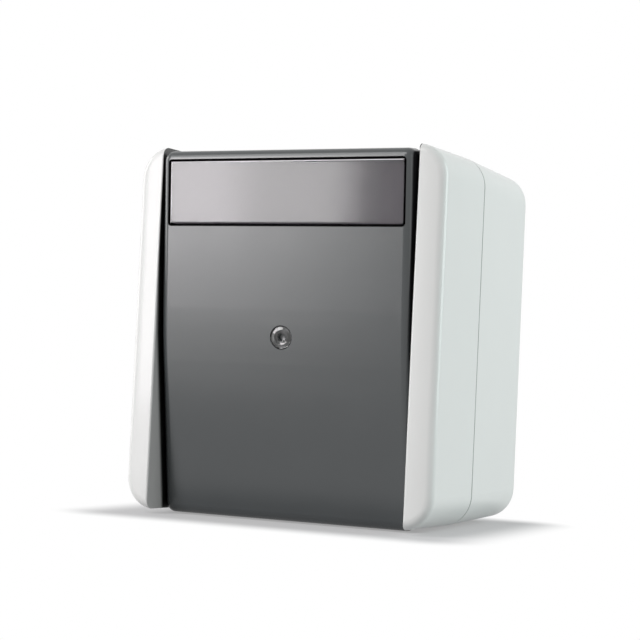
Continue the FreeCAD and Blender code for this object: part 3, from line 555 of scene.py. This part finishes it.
WINDOW = clear_plastic("window_plastic", (0.96, 0.95, 0.97), rough=0.09, ior=1.63)
LENS = clear_plastic("lens_plastic", (0.80, 0.81, 0.82), rough=0.04, ior=1.7)
LAMP_GLASS = clear_plastic("lamp_glass", (0.97, 0.95, 0.92), rough=0.03)
print("clear finishes", [finish.name for finish in (WINDOW, LENS, LAMP_GLASS)])

# %% [markdown]
# ## Which piece has which finish
# Every solid of the switch gets its finish here, also those behind the rocker, because someone may open the
# switch later. The solids keep their meshes, and only their material slots change.

# %% Dress the solids
WEAR = {
    "housing_plastic": HOUSING,
    "rocker_plastic": ROCKER,
    "clear_plastic": WINDOW,
    "label_paper": CARD,
    "white_plastic": WHITE,
    "insert_plastic": INSERT,
    "black_rubber": BLACK_RUBBER,
    "grey_rubber": GREY_RUBBER,
    "clear_rubber": BOOT_RUBBER,
    "screw_steel": ZINC,
    "spring_steel": SPRING,
    "plate_steel": ZINC,
    "contact_brass": BRASS,
    "contact_silver": SILVER,
    "lamp_glass": LAMP_GLASS,
}


def dress(piece, *finishes):
    """Gives a piece these finishes and no others."""
    piece.data.materials.clear()
    for finish in finishes:
        piece.data.materials.append(finish)


for subpart in frame["record"]["subparts"]:
    dress(nodes[subpart["node"]], WEAR[subpart["material_slot"]])
dress(nodes["indicator_lens"], LENS)

# %% [markdown]
# ## Shaping by hand
# The pieces that follow are made as by hand: a primitive is added, some of its faces are picked by the way
# they look, and those are inset or bevelled. Each step acts on all that is selected, so everything is
# deselected first. Pieces of the rocker are drawn for a level rocker and then turned about its bearing.

# %% Pick faces, bevel edges and set in place
FACING = 0.9
BEVEL_STEPS = 2


def clear_selection():
    """Deselects every object."""
    bpy.ops.object.select_all(action="DESELECT")


def apply_place():
    """Moves the place of what is selected into its mesh."""
    bpy.ops.object.transform_apply(location=True, rotation=True, scale=True)


def pick_faces(piece, test):
    """Goes into edit mode with just the faces selected that pass a test."""
    bpy.ops.object.mode_set(mode="EDIT")
    bpy.ops.mesh.select_mode(type="FACE")
    bpy.ops.mesh.select_all(action="DESELECT")
    bpy.ops.object.mode_set(mode="OBJECT")
    for face in piece.data.polygons:
        face.select = test(face)
    bpy.ops.object.mode_set(mode="EDIT")


def bevel_sharp_edges(angle, width):
    """Takes the sharp edges off the piece that is in edit mode."""
    bpy.ops.mesh.select_mode(type="EDGE")
    bpy.ops.mesh.select_all(action="DESELECT")
    bpy.ops.mesh.edges_select_sharp(sharpness=angle)
    bpy.ops.mesh.bevel(offset=width, segments=BEVEL_STEPS, affect="EDGES")


def set_in_place():
    """From edit mode back to object mode, with the normals outward and the place in the mesh."""
    bpy.ops.mesh.select_all(action="SELECT")
    bpy.ops.mesh.normals_make_consistent(inside=False)
    bpy.ops.object.mode_set(mode="OBJECT")
    apply_place()


print("bevels have", BEVEL_STEPS, "steps")

# %% Turn, join and measure
def turn_selected(angle, axis, middle):
    """Turns what is selected about a point."""
    bpy.ops.transform.rotate(value=angle, orient_axis=axis, orient_type="GLOBAL", center_override=middle)


def turn_with_rocker(piece):
    """From the level pose to the one the rocker rests in."""
    clear_selection()
    piece.select_set(True)
    bpy.context.view_layer.objects.active = piece
    turn_selected(-TILT, "X", PIVOT)
    apply_place()


def join_pieces(first, second):
    """Makes the second piece a part of the first."""
    clear_selection()
    first.select_set(True)
    second.select_set(True)
    bpy.context.view_layer.objects.active = first
    bpy.ops.object.join()


def in_mm(corners):
    """The corners of a box in millimetres, to print."""
    return [tuple(round(v / MM, 2) for v in corner) for corner in corners]


def box_of(piece):
    """Lowest and highest corner of a piece."""
    places = [vertex.co for vertex in piece.data.vertices]
    return [[end(place[axis] for place in places) for axis in range(3)] for end in (min, max)]


print("rocker", in_mm(box_of(nodes["rocker"])))

# %% [markdown]
# ## The indicator lens
# The lens is a turned light guide of clear plastic: a rim, then gentle rings that go down to a small hollow
# where the lamp shines through. It could be revolved from a profile. By hand it is quicker to start from a
# cylinder of its size and to inset its front face again and again, each time a little higher or deeper. A
# square flange behind the rocker's wall holds it. Light from all sides would wash out such fine rings, so
# only the faces that look forward are clear, and the others wear the rocker's dark finish as painted shade.

# %% Turn the lens
LENS_FRONT = -49.0 * MM
LENS_BACK = -46.2 * MM
LENS_RADIUS = 2.3 * MM
LENS_SIDES = 72
LENS_EDGE = 0.05 * MM
LENS_SHARP = math.radians(35)
# Width of each ring and how far it rises, in millimetres
LENS_STEPS = (
    (0.10, -0.22),
    (0.16, 0.0),
    (0.50, 0.17),
    (0.10, 0.0),
    (0.56, -0.24),
    (0.06, -0.2),
    (0.12, 0.0),
    (0.08, -0.6),
)


def make_lens():
    clear_selection()
    bpy.ops.mesh.primitive_cylinder_add(
        vertices=LENS_SIDES,
        radius=LENS_RADIUS,
        depth=LENS_BACK - LENS_FRONT,
        location=(0, (LENS_FRONT + LENS_BACK) / 2, 0),
        rotation=(math.pi / 2, 0, 0),
    )
    body = bpy.context.object
    apply_place()
    pick_faces(body, lambda face: face.normal.y < -FACING)
    for ring, rise in LENS_STEPS:
        bpy.ops.mesh.inset(thickness=ring * MM, depth=rise * MM)
    bevel_sharp_edges(LENS_SHARP, LENS_EDGE)
    set_in_place()
    return body


lens = make_lens()
print("turned lens", in_mm(box_of(lens)))

# %% Add its flange
FLANGE_HALF = 3.2 * MM
FLANGE_BACK = -45.4 * MM
FLANGE_INSET_SHARE = 0.08


def make_flange():
    clear_selection()
    bpy.ops.mesh.primitive_cube_add(size=1, location=(0, (LENS_BACK + FLANGE_BACK) / 2, 0))
    flange = bpy.context.object
    flange.scale = (2 * FLANGE_HALF, FLANGE_BACK - LENS_BACK, 2 * FLANGE_HALF)
    pick_faces(flange, lambda face: face.normal.y > FACING)
    bpy.ops.mesh.inset(thickness=FLANGE_INSET_SHARE, depth=0)
    set_in_place()
    return flange


join_pieces(lens, make_flange())
print("lens and flange", in_mm(box_of(lens)))

# %% Fit the lens
LENS_SMOOTH = math.radians(30)
CLEAR_BEHIND = 0.85 * MM
CLEAR_FACING = 0.2
turn_with_rocker(lens)
bpy.ops.object.shade_smooth_by_angle(angle=LENS_SMOOTH)
lens.name = "lens_steps"
# Faces that do not look forward wear the rocker's dark skin, painted shade behind the clear rings
dress(lens, LENS, ROCKER)
for face in lens.data.polygons:
    clear = face.center.y < LENS_FRONT + CLEAR_BEHIND and face.normal.y < -CLEAR_FACING
    face.material_index = 0 if clear else 1
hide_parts("indicator_lens")
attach(lens, "rocker")
print("lens", in_mm(box_of(lens)), "instead of", in_mm(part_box("indicator_lens")))

# %% [markdown]
# ## The label window
# The window is a clear plate that clips over the label card, flush with the rocker's face. Its rim is
# rounded and catches the light as a fine line. A plate of its size gets a rounded bevel along its front
# edges. A narrow ring inset inside the bevel keeps the large face flat when it is shaded smooth. Along the top
# and the left the rim is painted pale, a painted highlight, and the edges inside the recess wear the rocker's
# dark skin, painted shade that keeps the recess black.

# %% Round the window
WINDOW_HALF_X = 25.65 * MM
WINDOW_HALF_Z = 6.3 * MM
WINDOW_THICK = 1.2 * MM
WINDOW_ROUND = 0.32 * MM
WINDOW_ROUND_STEPS = 4
WINDOW_RING = 0.1 * MM
FRONT_FACING = 0.999


def make_window():
    clear_selection()
    bpy.ops.mesh.primitive_cube_add(size=1, location=(0, WINDOW_THICK / 2, 0))
    plate = bpy.context.object
    plate.scale = (2 * WINDOW_HALF_X, WINDOW_THICK, 2 * WINDOW_HALF_Z)
    apply_place()
    pick_faces(plate, lambda face: face.normal.y < -FACING)
    bpy.ops.mesh.bevel(offset=WINDOW_ROUND, segments=WINDOW_ROUND_STEPS, affect="EDGES")
    pick_faces(plate, lambda face: face.normal.y < -FRONT_FACING)
    bpy.ops.mesh.inset(thickness=WINDOW_RING, depth=0)
    set_in_place()
    return plate


window = make_window()
print("rounded plate", in_mm(box_of(window)))

# %% Fit the window
WINDOW_SMOOTH = math.radians(40)
FLAT_FACING = 0.985
EDGE_FACING = 0.3
RIM_FACING = 0.2
CLEAR_SLOT = 0
SHADED_EDGE_SLOT = 1
HIGHLIGHT_SLOT = 2


def window_slot(normal):
    """Which finish a face of the window wears, by the way it looks."""
    # Side faces take the rocker's dark skin as painted shade, and the rim's top and left a painted highlight
    if abs(normal.y) < EDGE_FACING:
        return SHADED_EDGE_SLOT
    on_rim = abs(normal.y) <= FLAT_FACING
    up_or_left = normal.z > RIM_FACING or normal.x < -RIM_FACING
    return HIGHLIGHT_SLOT if on_rim and up_or_left else CLEAR_SLOT


turn_selected(KINK, "X", (0, 0, 0))
bpy.ops.transform.translate(value=(0, FACE_VERTEX + LABEL_MIDDLE * math.tan(KINK), LABEL_MIDDLE))
apply_place()
turn_with_rocker(window)
bpy.ops.object.shade_smooth_by_angle(angle=WINDOW_SMOOTH)
window.name = "rounded_window"
dress(window, WINDOW, ROCKER, RIM_HIGHLIGHT_SKIN)
for face in window.data.polygons:
    face.material_index = window_slot(face.normal)
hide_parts("label_window")
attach(window, "rocker")
print("window", in_mm(box_of(window)), "instead of", in_mm(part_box("label_window")))

# %% [markdown]
# ## The cable grommets
# A cable enters through a rubber grommet in the top or the underside, and the installer cuts it along one of
# the thin rings. The rings could be a bump, but they are deep enough to cast shadows, so the outer face of a
# round plug is inset into steps. A square lip holds the plug inside. The lower grommet is a turned copy of
# the upper one.

# %% Step a plug
GROMMET_RADIUS = 8.45 * MM
GROMMET_SIDES = 96
GROMMET_TOP = 37.304 * MM
GROMMET_SEAT = 34.736 * MM
GROMMET_DEPTH = -14.0 * MM
GROMMET_EDGE = 0.08 * MM
GROMMET_SHARP = math.radians(40)
# Width of each ring and how far it rises, in millimetres
GROMMET_STEPS = (
    (1.1, 0.0),
    (0.25, -0.7),
    (1.5, 0.0),
    (0.2, 0.3),
    (1.3, 0.0),
    (0.2, 0.3),
    (1.2, 0.0),
    (0.2, -0.3),
)


def make_plug():
    clear_selection()
    bpy.ops.mesh.primitive_cylinder_add(
        vertices=GROMMET_SIDES,
        radius=GROMMET_RADIUS,
        depth=GROMMET_TOP - GROMMET_SEAT,
        location=(0, GROMMET_DEPTH, (GROMMET_TOP + GROMMET_SEAT) / 2),
    )
    plug = bpy.context.object
    apply_place()
    pick_faces(plug, lambda face: face.normal.z > FACING)
    for ring, rise in GROMMET_STEPS:
        bpy.ops.mesh.inset(thickness=ring * MM, depth=rise * MM)
    bevel_sharp_edges(GROMMET_SHARP, GROMMET_EDGE)
    set_in_place()
    return plug


grommets = make_plug()
print("plug", in_mm(box_of(grommets)))

# %% Give it a lip
LIP_HALF = 9.9 * MM
LIP_THICK = 1.2 * MM
LIP_EDGE = 0.15 * MM
LIP_SIDE_FACING = 0.1
GROMMET_SMOOTH = math.radians(35)


def make_lip():
    clear_selection()
    bpy.ops.mesh.primitive_cube_add(size=1, location=(0, GROMMET_DEPTH, GROMMET_SEAT - LIP_THICK / 2))
    lip = bpy.context.object
    lip.scale = (2 * LIP_HALF, 2 * LIP_HALF, LIP_THICK)
    apply_place()
    pick_faces(lip, lambda face: abs(face.normal.z) < LIP_SIDE_FACING)
    bpy.ops.mesh.bevel(offset=LIP_EDGE, segments=BEVEL_STEPS, affect="EDGES")
    set_in_place()
    return lip


join_pieces(grommets, make_lip())
bpy.ops.object.shade_smooth_by_angle(angle=GROMMET_SMOOTH)
dress(grommets, GREY_RUBBER)
print("upper grommet", in_mm(box_of(grommets)))

# %% Copy it to the underside
bpy.ops.object.duplicate()
lower = bpy.context.object
turn_selected(math.pi, "Y", (0, 0, 0))
apply_place()
join_pieces(grommets, lower)
grommets.name = "stepped_grommets"
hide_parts("cable_grommets")
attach(grommets, "housing")
print("grommets", in_mm(box_of(grommets)), "instead of", in_mm(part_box("cable_grommets")))

# %% [markdown]
# ## Sky and floor
# The picture is a plain studio shot on white. A white sweep could be lit until it burns out, but that would
# wash out the pale box too. Here the sky and the floor are white only to the eye: for the camera, in gloss
# and through clear plastic. Close to the switch the floor turns mostly to a matt grey, a painted shadow
# around the switch's footprint, and the real shadow shows in it. It ends a little in front of the switch, as
# a table does, so that the lamps in front still show in the rocker.

# %% Sky
SKY_LEVEL = 0.23
WHITE_LIGHT = (1, 1, 1, 1)


def seen_by_eye(start):
    """1 for the camera, also in gloss and through clear plastic, and 0 for light that falls on things."""
    rays = ("Is Camera Ray", "Is Glossy Ray", "Is Transmission Ray")
    camera_ray, glossy_ray, clear_ray = [start.node("ShaderNodeLightPath", out=ray) for ray in rays]
    return start.math("MAXIMUM", start.math("MAXIMUM", camera_ray, glossy_ray), clear_ray)


def make_sky():
    sky = bpy.data.worlds.new("studio_sky")
    sky.use_nodes = True
    sky.node_tree.nodes.clear()
    start = Tone(sky.node_tree, None)
    strength = SKY_LEVEL + seen_by_eye(start) * (1 - SKY_LEVEL)
    light = start.node("ShaderNodeBackground", None, {"Color": WHITE_LIGHT, "Strength": strength})
    light.node("ShaderNodeOutputWorld", None, {"Surface": light})
    bpy.context.scene.world = sky
    return sky


sky = make_sky()
print("sky", sky.name)

# %% Floor
FLOOR_DROP = 0.3 * MM
FLOOR_SIZE = 6.0
FLOOR_FRONT = -0.14
FLOOR_CLOUD = 0.4
# Share of white glow next to the switch; the rest is matt grey, a painted shadow around its footprint
FLOOR_WHITE = 0.32
SHADOW_REACH = 14 * MM


def floor_finish():
    material, place = start_finish("floor_white")
    colour = between(noise(place, FLOOR_CLOUD), (0.45, 0.45, 0.46), (0.49, 0.49, 0.50))
    matt_shade_skin = principled(place, {"Base Color": colour, "Roughness": 0.95, "Specular IOR Level": 0.0})
    beside = []
    for low, high, spot in zip(cad_box[0], cad_box[1], axes_of(place)[:2]):
        from_middle = size_of(spot - (low + high) / 2)
        beside.append(place.math("MAXIMUM", from_middle - (high - low) / 2, 0.0))
    away = place.math("POWER", beside[0] * beside[0] + beside[1] * beside[1], 0.5)
    # Painted shadow: the glow fades out towards the switch's footprint, leaving matt grey in which the real shadow
    # shows
    white = FLOOR_WHITE + (1 - FLOOR_WHITE) * smooth_step(away, 0.0, SHADOW_REACH)
    glow = place.node("ShaderNodeEmission", None, {"Color": WHITE_LIGHT, "Strength": 1.0})
    return end_finish(material, mix_skins(seen_by_eye(place) * white, matt_shade_skin, glow))


def make_floor():
    clear_selection()
    height = cad_box[0][2] - FLOOR_DROP
    bpy.ops.mesh.primitive_plane_add(size=FLOOR_SIZE, location=(0, FLOOR_FRONT + FLOOR_SIZE / 2, height))
    floor = bpy.context.object
    apply_place()
    floor.name = "studio_floor"
    dress(floor, floor_finish())
    return floor


floor = make_floor()
print("floor", in_mm(box_of(floor)))

# %% [markdown]
# ## Lamps
# A large softbox in front, to the left, lights the faces and shows in the rocker's gloss. It has a brighter
# core, and a dim softbox stands below it, under the level of the floor, so the gloss fades softly down the
# rocker. One lamp from the left, one from above and one from behind on the right bring out the edges of the
# box, and a weak fill lightens what looks to the right. Brighter lamps would burn out the pale box.

# %% Lamps
# Name, place, point aimed at, width, height, watts and colour
LAMPS = (
    ("front_softbox", (-0.500, -0.779, 0.261), (0, -0.04, 0), 0.389, 0.61, 4.05, (1.0, 0.985, 0.98)),
    ("front_core", (-0.523, -0.740, 0.218), (0, -0.04, 0), 0.293, 0.516, 1.28, (1.0, 0.93, 1.0)),
    ("low_softbox", (-0.526, -0.791, -0.153), (0, -0.04, 0), 0.36, 0.20, 0.34, (1.0, 0.985, 0.98)),
    ("left_softbox", (-0.90, -0.06, 0.20), (0, -0.04, 0), 0.45, 0.6, 2.0, (1.0, 0.99, 0.98)),
    ("top_softbox", (-0.244, -0.598, 0.635), (0, -0.03, 0), 0.5, 0.34, 1.7, (1.0, 1.0, 1.0)),
    ("right_softbox", (0.74, 0.29, 0.22), (0, -0.02, 0), 0.5, 0.6, 4.2, (0.89, 1.0, 0.99)),
    ("right_fill", (0.82, -0.25, 0.20), (0, -0.03, 0), 0.5, 0.6, 1.05, (0.97, 1.0, 1.0)),
)


def make_lamp(name, spot, aim, width, height, power, colour):
    """A soft rectangular lamp that looks at a point."""
    lamp = bpy.data.lights.new(name, "AREA")
    lamp.shape = "RECTANGLE"
    lamp.size = width
    lamp.size_y = height
    lamp.energy = power
    lamp.color = colour
    holder = bpy.data.objects.new(name, lamp)
    bpy.context.scene.collection.objects.link(holder)
    holder.location = spot
    holder.rotation_euler = (Vector(aim) - Vector(spot)).to_track_quat("-Z", "Y").to_euler()
    return holder


lamps = [make_lamp(*lamp) for lamp in LAMPS]
bpy.context.scene.view_settings.view_transform = "Standard"
print("lamps", [lamp.name for lamp in lamps])
